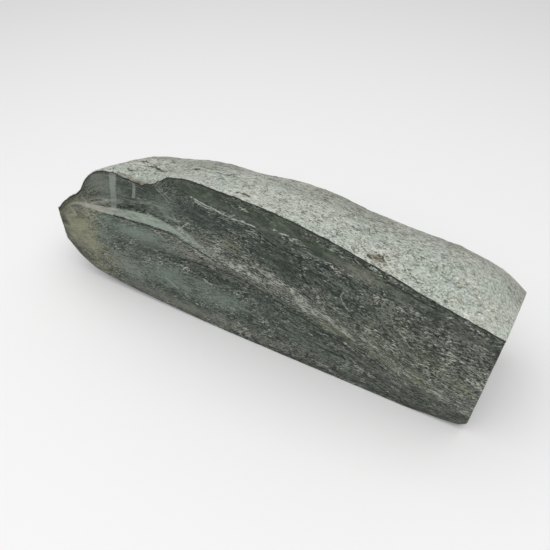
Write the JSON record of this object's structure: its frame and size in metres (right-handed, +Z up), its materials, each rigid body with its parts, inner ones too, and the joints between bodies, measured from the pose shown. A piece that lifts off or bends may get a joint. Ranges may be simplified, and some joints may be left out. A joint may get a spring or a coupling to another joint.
{
  "type": "raw jade boulder",
  "caption": "Long rough jade boulder with a sawn, stepped front face, a square-cut end, pale worn rind and a rounded nose. It rests on a flat base.",
  "frame": {"origin": "middle of the underside of the bounding box, on the surface the boulder rests on", "axes": "+X along the length toward the square-cut end, -Y out of the long sawn face, +Z up"},
  "size_m": [0.3282, 0.0992, 0.1255],
  "materials": {
    "stone": "sawn dark green nephrite, semi-matt, with pale granular rind"
  },
  "bodies": {
    "root": {"boulder": "stone"}
  },
  "joints": []
}
